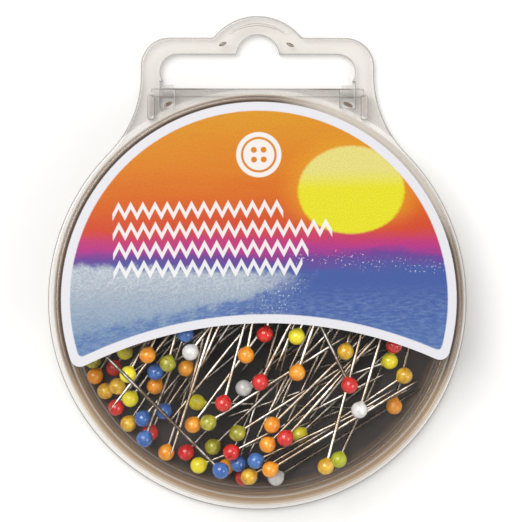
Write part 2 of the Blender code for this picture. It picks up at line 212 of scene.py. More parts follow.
for number, (place, width, power, tint) in enumerate(PANELS, start=1):
    panel = bpy.data.lights.new(f"panel_{number}", "AREA")
    panel.shape = "SQUARE"
    panel.size = width
    panel.energy = power
    panel.color = tint
    lamp = bpy.data.objects.new(f"panel_{number}", panel)
    lamp.location = place
    lamp.rotation_mode = "QUATERNION"
    lamp.rotation_quaternion = (-Vector(place)).to_track_quat("-Z", "Y")
    scene.collection.objects.link(lamp)

room = bpy.data.worlds.new("room")
room.use_nodes = True
room.node_tree.nodes["Background"].inputs["Color"].default_value = (1.0, 1.0, 1.0, 1.0)
room.node_tree.nodes["Background"].inputs["Strength"].default_value = ROOM_LIGHT
scene.world = room
scene.view_settings.view_transform = "Standard"

# ---- Clear base ----
# One injection moulding in clear polystyrene: back sheet, hang tab, dish wall, hinge bar and cheeks.
# The mould leaves every edge slightly round. Light bent brown and gold in the wall, and on the round edges,
# is painted into the colour.

MM = 0.001
DISH = 31.8 * MM
WALL = 32.7 * MM
WALL_AT_TOP = 32.46 * MM
WALL_TOP = 9.0 * MM
RIM_ROUND = 0.21 * MM
SHEET = 1.6 * MM
EDGE_ROUND = 0.42 * MM
SLOT_ROUND = 0.24 * MM
LEVEL_BAND = 0.04 * MM
CREASE = math.radians(40)

# The outline of the sheet and of its openings, in millimetres.
FLANGE = 35.3
TAB_HALF = 19.7
TAB_TOP = 44.3
TAB_CORNER = 4.8
FLANK_TOP = 38.1
ARCH_HALF = 7.45
ARCH_RISE = 3.7
FOOT = 1.0
SLOT_FLOOR = 35.6
SLOT_END = (13.55, 38.55, 2.95)
PEG_HOLE = (41.15, 3.65)
WINDOW_IN, WINDOW_OUT = 13.9, 16.5
WINDOW_NEAR, WINDOW_FAR = 32.45, 36.9
CHEEK_LOW = (17.4, 30.4, 0.8)
CHEEK_HIGH = (18.6, 34.57, 3.2)
CHEEK_CORNER = 0.35
PIPS = ((-5.9, 43.2, 24.0), (5.5, 43.1, -24.0))

HINGE = (0.0, 34.95 * MM, 1.7 * MM)
BAR = 0.75 * MM
BAR_HALF = 18.0 * MM
BAR_SIDES = 24
CHEEK_ROUND = 0.2 * MM
CIRCLE_SIDES = 144
ROUND_STEPS = 5
ARCH_CENTRE = 38.65 * MM
BEAD_SWEEP = 7.85 * MM
BEAD_SPAN = (128.0, 52.0)
BEAD_POINTS = 40
BEAD = 0.24 * MM
BLUNT_END = 0.02
PIP_HALF = 0.7 * MM
PIP = 0.3 * MM
PIP_POINTS = 14


def arc(x, y, radius, start, end, count):
    """Points of an arc, (x, y) + radius * (cos, sin), from one angle in degrees to another."""
    angle = np.radians(np.linspace(start, end, count))
    return np.stack([x + radius * np.cos(angle), y + radius * np.sin(angle)], axis=1)


def mirrored(right):
    """The right half of a loop from its lowest point to its highest, then its mirror image back down."""
    return np.vstack([right, right[-2:0:-1] * (-1.0, 1.0)])


def sheet_loop():
    """The flange circle run into the hang tab: flank, corner, foot and arch are arcs that touch."""
    flank = (TAB_HALF**2 + FLANK_TOP**2 - FLANGE**2) / (2 * (FLANGE - TAB_HALF))
    meeting = math.degrees(math.atan2(FLANK_TOP, TAB_HALF + flank))
    arch = (ARCH_HALF**2 + ARCH_RISE**2) / (2 * ARCH_RISE)
    arch_y = TAB_TOP + ARCH_RISE - arch
    foot_x = math.sqrt((arch + FOOT) ** 2 - (TAB_TOP + FOOT - arch_y) ** 2)
    leaving = math.degrees(math.atan2(TAB_TOP + FOOT - arch_y, foot_x))
    return mirrored(np.vstack([
        arc(0.0, 0.0, FLANGE, -90, meeting, 72),
        arc(TAB_HALF + flank, FLANK_TOP, flank, meeting + 180, 180, 14)[1:],
        arc(TAB_HALF - TAB_CORNER, TAB_TOP - TAB_CORNER, TAB_CORNER, 0, 90, 14),
        arc(foot_x, TAB_TOP + FOOT, FOOT, 270, leaving + 180, 7),
        arc(0.0, arch_y, arch, leaving, 90, 20)[1:],
    ])) * MM


def slot_loop():
    """The peg slot with its round hole above and the two hinge windows below."""
    end_x, end_y, end = SLOT_END
    hole_y, hole = PEG_HOLE
    rising = math.degrees(math.asin((WINDOW_FAR - end_y) / end))
    leaving = math.degrees(math.asin((end_y + end - hole_y) / hole))
    return mirrored(np.vstack([
        [(0.0, SLOT_FLOOR), (WINDOW_IN, SLOT_FLOOR), (WINDOW_IN, WINDOW_NEAR)],
        [(WINDOW_OUT, WINDOW_NEAR), (WINDOW_OUT, WINDOW_FAR)],
        arc(end_x, end_y, end, rising, 90, 16),
        arc(0.0, hole_y, hole, leaving, 90, 14),
    ])) * MM


def set_in(loop, distance):
    """A closed loop moved to the left of its run: each corner goes along the sum of its two sides' normals.

    The sum is divided by 1 + their product, so that both sides move by exactly the distance.
    """
    sides = loop - np.roll(loop, 1, axis=0), np.roll(loop, -1, axis=0) - loop
    before, after = (
        np.stack([-side[:, 1], side[:, 0]], axis=1) / np.linalg.norm(side, axis=1)[:, None] for side in sides
    )
    return loop + distance * (before + after) / (1 + (before * after).sum(axis=1))[:, None]


def ring_faces(rings, count):
    """Quads between each ring of points and the next, all the way round."""
    step = np.arange(count)
    first, beside = count * np.arange(rings - 1)[:, None], (step + 1) % count
    quads = [first + step, first + beside, first + count + beside, first + count + step]
    return np.stack(quads, axis=-1).reshape(-1, 4).tolist()


def rounded_edge(loop, bottom, top, curve):
    """The edge of a plate along a loop: level band, quarter round, upright side, quarter round, level band.

    A ring at angle a of a round lies curve * (1 - cos a) inside the loop and curve * sin a from its middle.
    """
    turn = np.radians(np.linspace(0, 90, ROUND_STEPS))
    inset = curve * (1 - np.cos(turn))
    low, high = bottom + curve * (1 - np.sin(turn)), top - curve * (1 - np.sin(turn))
    insets = [curve + LEVEL_BAND, *inset[::-1], *inset, curve + LEVEL_BAND]
    levels = [bottom, *low[::-1], *high, top]
    rings = [
        np.column_stack([set_in(loop, into), np.full(len(loop), level)])
        for into, level in zip(insets, levels)
    ]
    return np.vstack(rings), ring_faces(len(rings), len(loop))


def turned(profile, sides):
    """Rings of a profile of (radius, height) carried round Z: radius * (cos, sin), height."""
    turn = np.linspace(0.0, 2 * math.pi, sides, endpoint=False)
    radius, height = np.array(profile).T
    x, y = radius[:, None] * np.cos(turn), radius[:, None] * np.sin(turn)
    return np.stack([x, y, np.broadcast_to(height[:, None], x.shape)], axis=-1).reshape(-1, 3)


def gathered(parts):
    """Several (points, faces) as one."""
    points, faces, count = [], [], 0
    for more, cells in parts:
        points.append(more)
        faces += [[corner + count for corner in cell] for cell in cells]
        count += len(more)
    return np.vstack(points), faces


def filled(points, faces, fills):
    """The points and faces with flat triangles over the open loops that each fill's test chooses."""
    shape = bmesh.new()
    corners = [shape.verts.new(point) for point in points]
    for face in faces:
        shape.faces.new([corners[corner] for corner in face])
    for chosen in fills:
        rims = [
            edge for edge in shape.edges
            if edge.is_boundary and all(chosen(end.co) for end in edge.verts)
        ]
        bmesh.ops.triangle_fill(shape, use_beauty=True, use_dissolve=False, edges=rims)
    bmesh.ops.recalc_face_normals(shape, faces=shape.faces)
    shape.verts.index_update()
    made = np.array([corner.co for corner in shape.verts])
    cells = [[corner.index for corner in face.verts] for face in shape.faces]
    shape.free()
    return made, cells


def spun(profile, head, tip, sides):
    """Rings of a profile carried round the line from head to tip.

    A point is head + height * axis + radius * (cos(turn) * across + sin(turn) * up), and the first and
    last rings close on the axis.
    """
    axis = (tip - head) / np.linalg.norm(tip - head)
    across = np.cross((0.0, 0.0, 1.0), axis)
    across /= np.linalg.norm(across)
    up = np.cross(axis, across)
    turn = np.linspace(0.0, 2 * math.pi, sides, endpoint=False)
    round_it = np.cos(turn)[:, None] * across + np.sin(turn)[:, None] * up
    radius, height = np.array(profile).T
    rings = head + height[1:-1, None, None] * axis + radius[1:-1, None, None] * round_it
    points = np.vstack([rings.reshape(-1, 3), head + height[0] * axis, head + height[-1] * axis])
    ring = np.arange(sides)
    beside, last = (ring + 1) % sides, sides * (len(profile) - 3)
    cap = np.stack([beside, ring, np.full_like(ring, len(points) - 2)], axis=-1)
    end = np.stack([last + ring, last + beside, np.full_like(ring, len(points) - 1)], axis=-1)
    return points, ring_faces(len(profile) - 2, sides) + cap.tolist() + end.tolist()


def swept(path, thickness, sides=10):
    """A round bead along a level path: a ring round each point, square to the way the path runs there.

    The rings shrink to almost nothing at both ends, by the root of the sine of their share of the way.
    """
    way = np.gradient(path, axis=0)
    way /= np.linalg.norm(way, axis=1)[:, None]
    aside = np.stack([-way[:, 1], way[:, 0], np.zeros(len(path))], axis=1)
    angle = np.linspace(0.0, 2 * math.pi, sides, endpoint=False)
    share = np.linspace(BLUNT_END, math.pi - BLUNT_END, len(path))
    thick = thickness * np.sqrt(np.sin(share))
    up = np.array((0.0, 0.0, 1.0))
    ring = np.cos(angle)[None, :, None] * aside[:, None, :] + np.sin(angle)[None, :, None] * up
    points = (path[:, None, :] + thick[:, None, None] * ring).reshape(-1, 3)
    last = sides * (len(path) - 1)
    ends = [list(range(sides))[::-1], list(range(last, last + sides))]
    return points, ring_faces(len(path), sides) + ends


def rounded_corner(radius, height, curve, steps):
    """(radius, height) up a round corner: curve * (1 - cos a) in from it and curve * (1 - sin a) down."""
    turn = np.radians(np.linspace(0, 90, steps))
    return np.column_stack([radius - curve * (1 - np.cos(turn)), height - curve * (1 - np.sin(turn))])


wall_foot = SHEET + LEVEL_BAND * 10
wall_profile = [
    (WALL, SHEET),
    (WALL - LEVEL_BAND, wall_foot),
    *rounded_corner(WALL_AT_TOP, WALL_TOP, RIM_ROUND, ROUND_STEPS),
    *(rounded_corner(-DISH, WALL_TOP, RIM_ROUND, ROUND_STEPS) * (-1.0, 1.0))[::-1],
    (DISH, wall_foot),
    (DISH, SHEET),
]
sheet_and_wall = gathered([
    rounded_edge(sheet_loop(), 0.0, SHEET, EDGE_ROUND),
    rounded_edge(slot_loop()[::-1], 0.0, SHEET, SLOT_ROUND),
    (turned(wall_profile, CIRCLE_SIDES), ring_faces(len(wall_profile), CIRCLE_SIDES)),
])
mid_wall = (DISH + WALL) / 2
mouldings = [filled(*sheet_and_wall, [
    lambda at: at.z < SHEET / 2,
    lambda at: at.z > SHEET / 2 and math.hypot(at.x, at.y) < mid_wall,
    lambda at: at.z > SHEET / 2 and math.hypot(at.x, at.y) > mid_wall,
])]
bar_chamfer = BAR * 0.3
bar_profile = [
    (0.0, 0.0),
    (BAR - bar_chamfer, 0.0),
    (BAR, bar_chamfer),
    (BAR, 2 * BAR_HALF - bar_chamfer),
    (BAR - bar_chamfer, 2 * BAR_HALF),
    (0.0, 2 * BAR_HALF),
]
bar_start = np.array(HINGE) - (BAR_HALF, 0.0, 0.0)
mouldings.append(spun(bar_profile, bar_start, bar_start + (1.0, 0.0, 0.0), BAR_SIDES))
for side in (-1, 1):
    (x_low, y_low, z_low), (x_high, y_high, z_high) = CHEEK_LOW, CHEEK_HIGH
    x_low, x_high = sorted((side * x_low, side * x_high))
    east, west = x_high - CHEEK_CORNER, x_low + CHEEK_CORNER
    north, south = y_high - CHEEK_CORNER, y_low + CHEEK_CORNER
    corners = (east, south, -90), (east, north, 0), (west, north, 90), (west, south, 180)
    block = [arc(x, y, CHEEK_CORNER, turn, turn + 90, ROUND_STEPS) for x, y, turn in corners]
    edge = rounded_edge(np.vstack(block) * MM, z_low * MM, z_high * MM, CHEEK_ROUND)
    mouldings.append(filled(*edge, [lambda at: at.z < SHEET, lambda at: at.z > SHEET]))


# Radii and places in this finish are in millimetres.
plastic, plastic_shader, start = new_finish("clear_polystyrene", Roughness=0.07, IOR=1.59)
spot = start.add("ShaderNodeTexCoord")
x, y, z = spot.part("Object").axes()
_, ny, nz = spot.part("Normal").axes()
radius = start.math("SQRT", x * x + y * y) * 1000.0
round_wall = {0: x / radius * 6.0, 1: y / radius * 6.0, 2: radius * 1.1}
streaks = grain(start, start.add("ShaderNodeCombineXYZ", values=round_wall), 1.6, 4.0, 0.6)
steep = 1.0 - start.math("ABSOLUTE", nz)
in_wall = radius.ramp(31.3, 31.7) * radius.ramp(32.9, 33.2, 1.0, 0.0)
flow = grain(start, spot.part("Object"), 90.0, 3.0)
# Painted light: the flange's upward faces round the dish are painted near white, less so towards the hinge.
ledge = radius.ramp(33.9, 34.2) * radius.ramp(35.4, 35.9, 1.0, 0.0) * (y * 1000.0).ramp(30.0, 34.0, 1.0, 0.6)
ledge = ledge * nz.ramp(0.5, 0.9)
sheet_colour = ledge.between(flow.between((0.75, 0.69, 0.62), (0.84, 0.79, 0.73)), (0.94, 0.92, 0.89))

# Painted light and shade: a round edge is painted bright where it lies level and dark where it stands.
rounded = steep.colours([
    (0.0, (1.0, 1.0, 1.0)),
    (0.14, (1.0, 0.99, 0.97)),
    (0.30, (0.50, 0.45, 0.40)),
    (0.55, (0.17, 0.13, 0.10)),
    (0.9, (0.30, 0.25, 0.20)),
])
edge_share = steep.ramp(0.03, 0.10)
outside = edge_share.between(sheet_colour, rounded)
# Painted refraction: the wall is painted in streaks from dark brown to tan, for the light it bends.
painted_wall_refraction = (streaks + (radius - 32.2) * 0.12).colours([
    (0.25, (0.060, 0.033, 0.019)),
    (0.45, (0.14, 0.083, 0.048)),
    (0.6, (0.26, 0.165, 0.090)),
    (0.8, (0.48, 0.35, 0.215)),
])

# Painted shade: the bar is dark on its upper side between its middle and the hooks, pale elsewhere, and the
# pips are dark all over.
in_bar = start.math("ABSOLUTE", y * 1000.0 - HINGE[1] / MM).ramp(0.76, 0.82, 1.0, 0.0)
in_bar = in_bar * (z * 1000.0).ramp(1.61, 1.64)
from_middle = start.math("ABSOLUTE", x) * 1000.0
bar_shade = from_middle.ramp(6.0, 11.0) * from_middle.ramp(15.4, 16.4, 1.0, 0.0) * ny.ramp(0.35, 0.75)
bar_light_and_shade = bar_shade.between((0.93, 0.91, 0.88), (0.13, 0.085, 0.055))
outside = in_bar.between(outside, bar_light_and_shade)
pips = from_middle.ramp(4.6, 4.8) * from_middle.ramp(6.8, 7.0, 1.0, 0.0) * (z * 1000.0).ramp(1.62, 1.65)
pips = pips * (y * 1000.0).ramp(42.0, 42.2) * (y * 1000.0).ramp(44.0, 44.1, 1.0, 0.0)
outside = pips.between(outside, (0.20, 0.145, 0.10))
start.feed(plastic_shader.inputs["Base Color"], in_wall.between(outside, painted_wall_refraction))
clear = start.math("MAXIMUM", steep.ramp(0.10, 0.45, 0.20, 0.66), ledge * 0.8)
clear = clear * (1.0 - in_bar * (1.0 - bar_shade) * 0.6)
clear = start.math("MAXIMUM", clear, pips * 0.7)
flat_wall = in_wall * (0.17 + 0.71 * nz.ramp(0.2, 0.6))
start.feed(plastic_shader.inputs["Alpha"], start.math("MAXIMUM", flat_wall, clear * (1.0 - in_wall)))
start.feed(plastic_shader.inputs["Normal"], raised(start, flow, 0.25, 0.0001))

base = surface("clear_base", *gathered(mouldings), plastic)
base.data.set_sharp_from_angle(angle=CREASE)
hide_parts("case_base")
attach(base, "base")

# The arch's stiffening bead and the two pips where the mould was knocked out.
over_arch = arc(0.0, ARCH_CENTRE, BEAD_SWEEP, *BEAD_SPAN, BEAD_POINTS)
marks = [swept(np.column_stack([over_arch, np.full(BEAD_POINTS, SHEET)]), BEAD)]
for pip_x, pip_y, slant in PIPS:
    run = np.linspace(-PIP_HALF, PIP_HALF, PIP_POINTS)[:, None]
    lean = (math.cos(math.radians(slant)), math.sin(math.radians(slant)), 0.0)
    marks.append(swept(np.array((pip_x * MM, pip_y * MM, SHEET)) + run * lean, PIP))
tab_marks = surface("tab_marks", *gathered(marks), plastic)
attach(tab_marks, "base")

# ---- Card in the dish ----
# A disc of black pulp card that shows between the pins, matt, with short fibres. It is lighter towards its
# rim, and a brown light from the wall is painted on its edge.

card, card_shader, start = new_finish("black_card", Roughness=0.8)
where = start.add("ShaderNodeTexCoord").part("Object")
fibre = grain(start, where, 1800.0, 4.0, 0.7, 1.2)
cloudy = grain(start, where, 150.0, 3.0)
x, y, _ = where.axes()
radius = start.math("SQRT", x * x + y * y)
pulp = fibre * 0.6 + cloudy * 0.4
deep = pulp.colours([
    (0.3, (0.006, 0.0045, 0.004)),
    (0.55, (0.016, 0.012, 0.011)),
    (0.8, (0.04, 0.031, 0.028)),
])
paler_pulp = pulp.colours([
    (0.3, (0.022, 0.017, 0.0155)),
    (0.55, (0.045, 0.036, 0.033)),
    (0.8, (0.09, 0.074, 0.068)),
])
rim_paling = radius.ramp(0.018, 0.031).between(deep, paler_pulp)
# Painted light: a brown light from the wall, painted round the card's edge.
painted_wall_light = radius.ramp(0.0302, 0.0313) * fibre.ramp(0.3, 0.7, 0.5, 1.0)
start.feed(card_shader.inputs["Base Color"], painted_wall_light.between(rim_paling, (0.13, 0.080, 0.045)))
start.feed(card_shader.inputs["Normal"], raised(start, fibre, 0.5, 0.00008))
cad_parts["backing_card"].data.materials.clear()
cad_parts["backing_card"].data.materials.append(card)

# ---- Pins ----
# Nickel-plated steel wire, drawn to a point and pushed while hot into a bead of coloured glass.
# About a hundred lie in the dish, most with their heads to the lower left.

HEAD = 0.0014
SHANK = 0.0003
TIP = 0.00005
REACH = 0.0286
POINT = 0.005
IN_BEAD = 0.0006
NECK = ((0.00042, 0.00142), (0.00033, 0.00150), (0.0, 0.00150))
GAP = 0.00002
IN_FRAME = 28

# Each glass's deeper and lighter colour.
GLASS = {
    "yellow": ((0.88, 0.72, 0.006), (0.96, 0.88, 0.03)),
    "amber": ((0.62, 0.30, 0.006), (0.88, 0.55, 0.03)),
    "orange": ((0.85, 0.25, 0.004), (0.95, 0.42, 0.02)),
    "red": ((0.58, 0.006, 0.005), (0.78, 0.028, 0.02)),
    "blue": ((0.028, 0.105, 0.38), (0.065, 0.20, 0.56)),
    "olive": ((0.27, 0.25, 0.006), (0.50, 0.48, 0.04)),
    "lime": ((0.54, 0.58, 0.006), (0.76, 0.82, 0.05)),
    "pearl": ((0.66, 0.65, 0.63), (0.86, 0.86, 0.85)),
}


def glass_finish(colour):
    """Opaque glass with faint swirls of its lighter colour."""
    deep, light = GLASS[colour]
    material, shader, start = new_finish(f"{colour}_glass", Roughness=0.07, IOR=1.52)
    start.feed(shader.inputs["Coat Weight"], 0.6)
    start.feed(shader.inputs["Coat Roughness"], 0.04)
    where = start.add("ShaderNodeTexCoord").part("Object")
    swirl = grain(start, where, 520.0, 2.0, 0.5, 1.5)
    start.feed(shader.inputs["Base Color"], swirl.ramp(0.3, 0.7).between(deep, light))
    return material


glass = {colour: glass_finish(colour) for colour in GLASS}

steel, steel_shader, start = new_finish("nickel_plated_steel", Metallic=1.0)
where = start.add("ShaderNodeTexCoord").part("Object")
drawn = grain(start, where, 900.0, 3.0, 0.6)
_, _, nz = start.add("ShaderNodeTexCoord").part("Normal").axes()
_, _, z = where.axes()
worn = grain(start, where, 110.0, 2.0).ramp(0.42, 0.68, 0.0, 0.13)
# Painted light and shade: bright along the wire's top and dark brown down its sides, by which way its surface
# faces.
crown = (nz + (drawn - 0.5) * 0.35 - worn).colours([
    (0.0, (0.035, 0.021, 0.013)),
    (0.60, (0.11, 0.068, 0.040)),
    (0.80, (0.23, 0.160, 0.105)),
    (0.92, (0.50, 0.41, 0.32)),
    (0.975, (0.88, 0.83, 0.76)),
    (1.0, (0.97, 0.94, 0.90)),
])
# Painted shade: wires lower in the heap are painted darker, where the pins above shade them.
painted_heap_shade = (z * 1000.0).ramp(2.5, 9.5, 0.72, 0.0).between(crown, (0.045, 0.030, 0.021))
start.feed(steel_shader.inputs["Base Color"], painted_heap_shade)
start.feed(steel_shader.inputs["Roughness"], drawn.ramp(0.3, 0.7, 0.20, 0.38))


def bead_profile():
    """(radius, height) from the crown to the neck: a ball drawn out slightly to where the wire enters."""
    angle = np.radians(np.linspace(-90.0, 68.0, 13))
    ball = np.stack([HEAD * np.cos(angle), HEAD * np.sin(angle)], axis=1)
    return [*ball.tolist(), *NECK]


def wire_profile():
    """(radius, height) of the wire: inside the bead, along the shank and down to the point."""
    return [
        (0.0, IN_BEAD),
        (SHANK, IN_BEAD),
        (SHANK, REACH * 0.4),
        (SHANK, REACH - POINT),
        (SHANK * 0.72, REACH - POINT * 0.45),
        (SHANK * 0.4, REACH - POINT * 0.15),
        (TIP, REACH - TIP),
        (0.0, REACH),
    ]


def corners_of(node):
    """A frame node's mesh points as rows of x, y, z."""
    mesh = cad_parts[node].data
    points = np.empty(len(mesh.vertices) * 3, np.float32)
    mesh.vertices.foreach_get("co", points)
    return points.reshape(-1, 3).astype(float)


# Where the pins of the frame lie: each head's centre, and the far end of its wire. The wire's line runs
# between the middles of the points at its two ends.
AT_POINT = 0.0001
AT_BEAD = 0.0008
settled = []
for number in range(1, IN_FRAME + 1):
    wire = corners_of(f"pin_shank_{number:02d}")
    far = np.linalg.norm(wire - corners_of(f"pin_head_{number:02d}").mean(axis=0), axis=1)
    tip = wire[far > far.max() - AT_POINT].mean(axis=0)
    near = wire[far < far.min() + AT_BEAD].mean(axis=0)
    axis = (tip - near) / np.linalg.norm(tip - near)
    settled.append((tip - REACH * axis, tip))

# The rest of the heap: head place across and up in millimetres, heading in degrees, colour.
LOOSE = [
    (-21.3, -13.0, 58, "yellow"),
    (-19.1, -9.2, 60, "orange"),
    (-19.3, -22.6, 60, "blue"),
    (-5.5, -29.6, 120, "blue"),
    (-6.3, -27.4, 80, "blue"),
    (-7.9, -25.2, 60, "olive"),
    (-5.2, -25.4, 45, "red"),
    (-1.2, -28.9, 40, "amber"),
    (-0.8, -26.2, 10, "blue"),
    (1.6, -27.6, 25, "orange"),
    (-12.4, -20.8, 60, "orange"),
    (-8.0, -19.8, 50, "olive"),
    (-4.2, -22.2, 50, "olive"),
    (1.5, -24.1, 45, "orange"),
    (4.1, -23.6, 60, "red"),
    (-6.2, -16.6, 60, "red"),
    (2.6, -20.2, 50, "orange"),
    (11.5, -28.3, 60, "amber"),
    (17.4, -18.3, 55, "pearl"),
    (15.4, -14.8, 110, "red"),
    (-14.7, -10.0, 60, "olive"),
    (-10.6, -8.7, 62, "pearl"),
    (-11.8, -6.3, 60, "blue"),
    (-0.1, -13.1, 60, "red"),
    (6.0, -12.7, 62, "orange"),
    (-3.6, -9.2, 70, "orange"),
    (-7.0, -5.7, 60, "red"),
    (6.4, -8.6, 85, "amber"),
    (5.5, -4.8, 60, "yellow"),
    (21.8, -7.6, 100, "red"),
]
# The pins that the label hides come first: most lie point down, and the others point up like the rest.
UNDER_LABEL = 46
SEED = 7
DOWNWARD_SHARE = 0.80
DOWNWARD_SPAN = (-9, 27), (1, 15)
UPWARD_SPAN = (-22, 27), (1, 27)
HEADING = (54, 12)

CELL = 0.00025
MAP_HALF = 0.0335
WIRE_SAMPLES = 73
HEAD_INSET = 0.0017
POINT_INSET = 0.0006
CLEAR_OF_BEAD = 0.002
BALANCE = 0.34 * REACH
ROLL = np.radians(np.arange(-18, 19, 3))
CARD_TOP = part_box("backing_card")[1][2]
CEILING = 0.01265
HEAD_COST = 0.003
LID_COST = 1000.0
SIX_WAYS = np.radians(range(0, 360, 60))
NEAR_STEPS = (0.0007, 0.0015, 0.003, 0.005, 0.008)
FAR_STEPS = (0.002, 0.004, 0.007, 0.011)


class Heap:
    """How high the middle of a shank, and of a head, comes to rest over each cell of the dish."""

    def __init__(self):
        edge = np.arange(-MAP_HALF, MAP_HALF, CELL)
        self.low = edge[0]
        self.x, self.y = np.meshgrid(edge, edge, indexing="ij")
        self.over = {ball: np.full(self.x.shape, CARD_TOP + GAP + ball) for ball in (SHANK, HEAD)}
        self.heads = np.zeros((0, 2))

    def lay(self, head, tip):
        """Raises both maps over a pin: over its wire by the nearest point on it, and over its bead."""
        run = tip[:2] - head[:2]
        share = ((self.x - head[0]) * run[0] + (self.y - head[1]) * run[1]) / (run @ run)
        share = np.clip(share, 0.0, 1.0)
        off_wire = np.hypot(self.x - head[0] - share * run[0], self.y - head[1] - share * run[1])
        height = head[2] + share * (tip[2] - head[2])
        off_head = np.hypot(self.x - head[0], self.y - head[1])
        for ball, over in self.over.items():
            for off, thick, level in ((off_wire, SHANK, height), (off_head, HEAD, head[2])):
                need = ball + thick + GAP
                rise = level + np.sqrt(np.maximum(need**2 - off**2, 0.0))
                np.maximum(over, np.where(off < need, rise, -1.0), out=over)
        self.heads = np.vstack([self.heads, head[:2]])

    def rest(self, x, y, heading):
        """The heights of a new pin's two ends, held by one support either side of its balance."""
        along = np.linspace(0.0, REACH, WIRE_SAMPLES)
        places = x + along * math.cos(heading), y + along * math.sin(heading)
        i, j = (
            np.clip(np.rint((place - self.low) / CELL).astype(int), 0, len(self.x) - 1) for place in places
        )
        held = np.where(along < HEAD / 2, self.over[HEAD][i, j], self.over[SHANK][i, j])
        near, far = along < BALANCE, along > BALANCE
        slope = (held[far][None] - held[near][:, None]) / (along[far][None] - along[near][:, None])
        start = held[near][:, None] - slope * along[near][:, None]
        best = np.unravel_index(np.argmax(start + slope * BALANCE), slope.shape)
        return start[best], start[best] + slope[best] * REACH

    def crossed(self, x, y, heading):
        """How many heads the new pin's wire would pass over."""
        off = self.heads - (x, y)
        along = off[:, 0] * math.cos(heading) + off[:, 1] * math.sin(heading)
        aside = np.abs(off[:, 1] * math.cos(heading) - off[:, 0] * math.sin(heading))
        return int(((along > CLEAR_OF_BEAD) & (along < REACH) & (aside < HEAD)).sum())


def inside(x, y, heading):
    """The place drawn in to where a head fits, and the heading turned until the point is inside the wall."""
    head_circle, tip_circle = DISH - HEAD_INSET, DISH - POINT_INSET
    out = min(math.hypot(x, y), head_circle)
    way = math.atan2(y, x)
    swing = (heading - way + math.pi) % (2 * math.pi) - math.pi
    limit = (tip_circle**2 - out**2 - REACH**2) / (2 * max(out, 1e-6) * REACH)
    swing = math.copysign(max(abs(swing), math.acos(max(-1.0, min(1.0, limit)))), swing)
    return out * math.cos(way), out * math.sin(way), way + swing


heap = Heap()
for head, tip in settled:
    heap.lay(head, tip)


def drop(x, y, heading, widths):
    """The lowest lie near a place, off the heads already down, and further away where the heap is full."""
    for width in widths:
        shifts = [(0.0, 0.0)] + [(width * math.cos(a), width * math.sin(a)) for a in SIX_WAYS]
        lies = []
        for step_x, step_y in shifts:
            for roll in ROLL:
                lie = inside(x + step_x, y + step_y, heading + roll)
                low, high = heap.rest(*lie)
                cost = max(low, high) + HEAD_COST * heap.crossed(*lie)
                cost += LID_COST * max(0.0, max(low + HEAD, high + SHANK) - CEILING)
                lies.append((round(cost, 6), abs(step_x) + abs(step_y), abs(roll), lie, low, high))
        _, _, _, (rest_x, rest_y, turn), low, high = min(lies)
        if max(low + HEAD, high + SHANK) < CEILING:
            break
    flat = math.sqrt(REACH**2 - (high - low) ** 2)
    head = np.array((rest_x, rest_y, low))
    tip = head + (flat * math.cos(turn), flat * math.sin(turn), high - low)
    heap.lay(head, tip)
    return head, tip


chance = np.random.default_rng(SEED)
loose = {}
shades = list(GLASS)
for _ in range(UNDER_LABEL):
    downward = chance.random() < DOWNWARD_SHARE
    across_span, up_span = DOWNWARD_SPAN if downward else UPWARD_SPAN
    place_x, place_y = chance.uniform(*across_span), chance.uniform(*up_span)
    heading = chance.normal(*HEADING) + 180 * downward
    lie = drop(place_x / 1000, place_y / 1000, math.radians(heading), FAR_STEPS)
    loose.setdefault(shades[int(chance.integers(len(shades)))], []).append(lie)
for place_x, place_y, heading, colour in LOOSE:
    lie = drop(place_x / 1000, place_y / 1000, math.radians(heading), NEAR_STEPS)
    loose.setdefault(colour, []).append(lie)

for number, (head, tip) in enumerate(settled, start=1):
    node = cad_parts[f"pin_head_{number:02d}"]
    name = node.data.materials[0].name if node.data.materials else ""
    colour = next((c for c in GLASS if c in name), "amber")
    bead = surface(f"head_{number:02d}", *spun(bead_profile(), head, tip, 20), glass[colour])
    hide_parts(f"pin_head_{number:02d}")
    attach(bead, "base")
    wire = surface(f"shank_{number:02d}", *spun(wire_profile(), head, tip, 12), steel)
    wire.data.set_sharp_from_angle(angle=CREASE)
    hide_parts(f"pin_shank_{number:02d}")
    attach(wire, "base")

for colour, pins in loose.items():
    beads = gathered([spun(bead_profile(), head, tip, 16) for head, tip in pins])
    heads = surface(f"{colour}_heads", *beads, glass[colour])
    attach(heads, "base")
    wires = gathered([spun(wire_profile(), head, tip, 10) for head, tip in pins])
    shanks = surface(f"{colour}_pin_shanks", *wires, steel)
    shanks.data.set_sharp_from_angle(angle=CREASE)
    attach(shanks, "base")

# ---- Clear lid ----
# A shallow cap moulded in the same polystyrene. Its skirt drops over the dish wall, and two open hooks
# snap on the hinge bar.

LID_TOP = 14.0 * MM
LID_FACE = 1.2 * MM
LID_ROUND = 0.8 * MM
SKIRT_LOW = 1.9 * MM
SKIRT_IN = 33.0 * MM
SKIRT_MIDDLE = 33.45 * MM
SKIRT_OUT = 33.9 * MM
TOP_STEPS = 9
HOOK_X = 15.2 * MM
HOOK_WIDE = 2.0 * MM
HOOK_ROUND = 0.15 * MM
GATE_Y = 32.9
GATE_TURN = math.radians(25.0)
PALE_WAY = (640.0, 770.0)

# A hook from the side, in millimetres, and half its mouth's angle.
HOOK_IN = 1.0
HOOK_OUT = 1.6
MOUTH = 35
ARM = 3.0
ARM_LOW = 2.0

